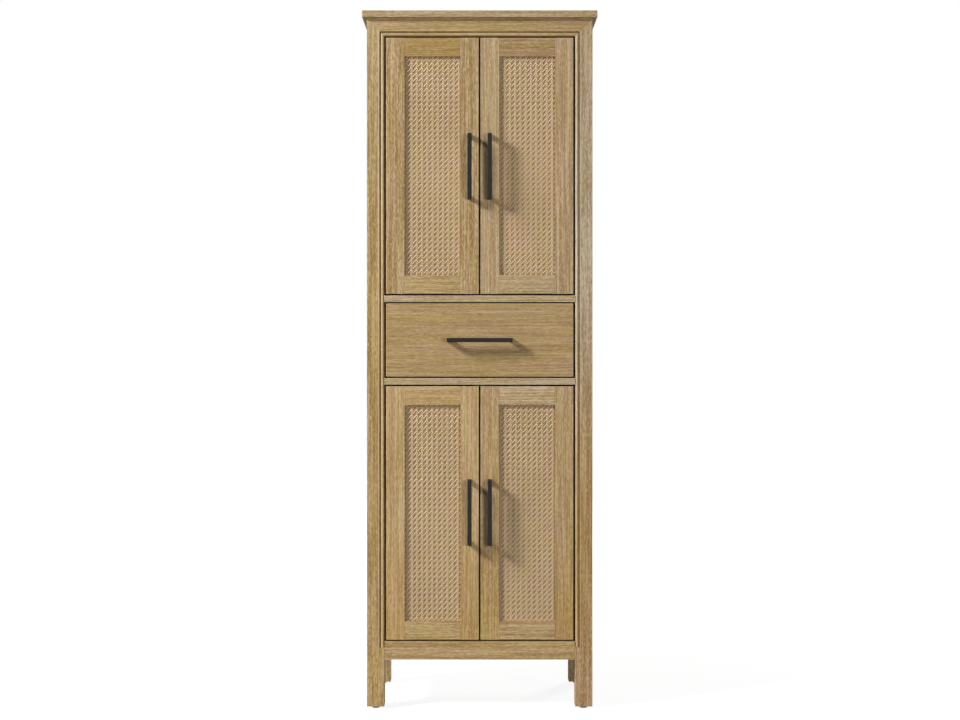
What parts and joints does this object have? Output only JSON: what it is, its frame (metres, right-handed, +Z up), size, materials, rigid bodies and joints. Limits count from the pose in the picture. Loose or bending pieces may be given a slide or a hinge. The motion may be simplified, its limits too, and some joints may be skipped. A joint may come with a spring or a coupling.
{
  "type": "bathroom cabinet",
  "caption": "Tall free-standing linen cabinet with cane-panel doors above and below an inset drawer, square legs and black bar pulls.",
  "frame": {"origin": "on the floor, under the middle of the whole cabinet with its pulls", "axes": "+Z up, front faces -Y, +X to the right as seen from the front"},
  "size_m": [0.61, 0.401, 1.812],
  "materials": {
    "limed_oak": "wire-brushed limed oak, matt lacquer",
    "carcass_board": "oak-faced board, matt",
    "cane_webbing": "woven cane, satin",
    "cane_backing": "thin board, matt",
    "black_pull": "black powder coat",
    "zinc_steel": "zinc-plated steel",
    "stop_plastic": "moulded, matt",
    "glide_plastic": "black moulded glide"
  },
  "bodies": {
    "cabinet": {"front_post_left": "limed_oak", "front_post_right": "limed_oak", "rear_posts": "limed_oak", "top_board": "limed_oak", "front_top_rail": "limed_oak", "front_apron": "limed_oak", "mid_rails": "limed_oak", "side_rails": "limed_oak", "rear_rails": "carcass_board", "back_panel": "carcass_board", "side_panels": "limed_oak", "shelf_pins": "zinc_steel", "shelves": "carcass_board", "decks": "carcass_board", "side_packers": "carcass_board", "hinge_arms": "zinc_steel", "hinge_plates": "zinc_steel", "slide_outers": "zinc_steel", "door_stops": "stop_plastic", "leg_inserts": "zinc_steel"},
    "drawer": {"drawer_front": "limed_oak", "drawer_sides": "carcass_board", "drawer_ends": "carcass_board", "drawer_bottom": "carcass_board", "drawer_pull": "black_pull", "drawer_screws": "zinc_steel", "slide_inners": "zinc_steel"},
    "slide_carriers": {"slide_middles": "zinc_steel"},
    "lower_left_door": {"lower_left_stiles": "limed_oak", "lower_left_rails": "limed_oak", "lower_left_cane_panel": "cane_webbing", "lower_left_backing_panel": "cane_backing", "lower_left_pull": "black_pull", "lower_left_hinge_cups": "zinc_steel", "lower_left_fixings": "zinc_steel"},
    "lower_right_door": {"lower_right_stiles": "limed_oak", "lower_right_rails": "limed_oak", "lower_right_cane_panel": "cane_webbing", "lower_right_backing_panel": "cane_backing", "lower_right_pull": "black_pull", "lower_right_hinge_cups": "zinc_steel", "lower_right_fixings": "zinc_steel"},
    "upper_left_door": {"upper_left_stiles": "limed_oak", "upper_left_rails": "limed_oak", "upper_left_cane_panel": "cane_webbing", "upper_left_backing_panel": "cane_backing", "upper_left_pull": "black_pull", "upper_left_hinge_cups": "zinc_steel", "upper_left_fixings": "zinc_steel"},
    "upper_right_door": {"upper_right_stiles": "limed_oak", "upper_right_rails": "limed_oak", "upper_right_cane_panel": "cane_webbing", "upper_right_backing_panel": "cane_backing", "upper_right_pull": "black_pull", "upper_right_hinge_cups": "zinc_steel", "upper_right_fixings": "zinc_steel"},
    "front_left_glide_foot": {"front_left_glide": "glide_plastic"},
    "front_right_glide_foot": {"front_right_glide": "glide_plastic"},
    "rear_left_glide_foot": {"rear_left_glide": "glide_plastic"},
    "rear_right_glide_foot": {"rear_right_glide": "glide_plastic"}
  },
  "joints": [
    {"name": "lower_left_door_hinge", "type": "hinge", "parent": "cabinet", "child": "lower_left_door", "pos_m": [-0.2242, -0.1575, 0.509], "axis": [0, 0, -1], "range_deg": [0, 95]},
    {"name": "lower_right_door_hinge", "type": "hinge", "parent": "cabinet", "child": "lower_right_door", "pos_m": [0.2242, -0.1575, 0.509], "axis": [0, 0, 1], "range_deg": [0, 95]},
    {"name": "upper_left_door_hinge", "type": "hinge", "parent": "cabinet", "child": "upper_left_door", "pos_m": [-0.2242, -0.1575, 1.4105], "axis": [0, 0, -1], "range_deg": [0, 95]},
    {"name": "upper_right_door_hinge", "type": "hinge", "parent": "cabinet", "child": "upper_right_door", "pos_m": [0.2242, -0.1575, 1.4105], "axis": [0, 0, 1], "range_deg": [0, 95]},
    {"name": "drawer_slide", "type": "slide", "parent": "cabinet", "child": "drawer", "axis": [0, -1, 0], "range_m": [0, 0.28]},
    {"name": "slide_carrier_travel", "type": "slide", "parent": "cabinet", "child": "slide_carriers", "axis": [0, -1, 0], "range_m": [0, 0.14]},
    {"name": "front_left_glide_screw", "type": "slide", "parent": "cabinet", "child": "front_left_glide_foot", "axis": [0, 0, -1], "range_m": [0, 0.012]},
    {"name": "front_right_glide_screw", "type": "slide", "parent": "cabinet", "child": "front_right_glide_foot", "axis": [0, 0, -1], "range_m": [0, 0.012]},
    {"name": "rear_left_glide_screw", "type": "slide", "parent": "cabinet", "child": "rear_left_glide_foot", "axis": [0, 0, -1], "range_m": [0, 0.012]},
    {"name": "rear_right_glide_screw", "type": "slide", "parent": "cabinet", "child": "rear_right_glide_foot", "axis": [0, 0, -1], "range_m": [0, 0.012]}
  ],
  "couplings": [
    {"joint": "slide_carrier_travel", "follows": "drawer_slide", "ratio": 0.5}
  ]
}
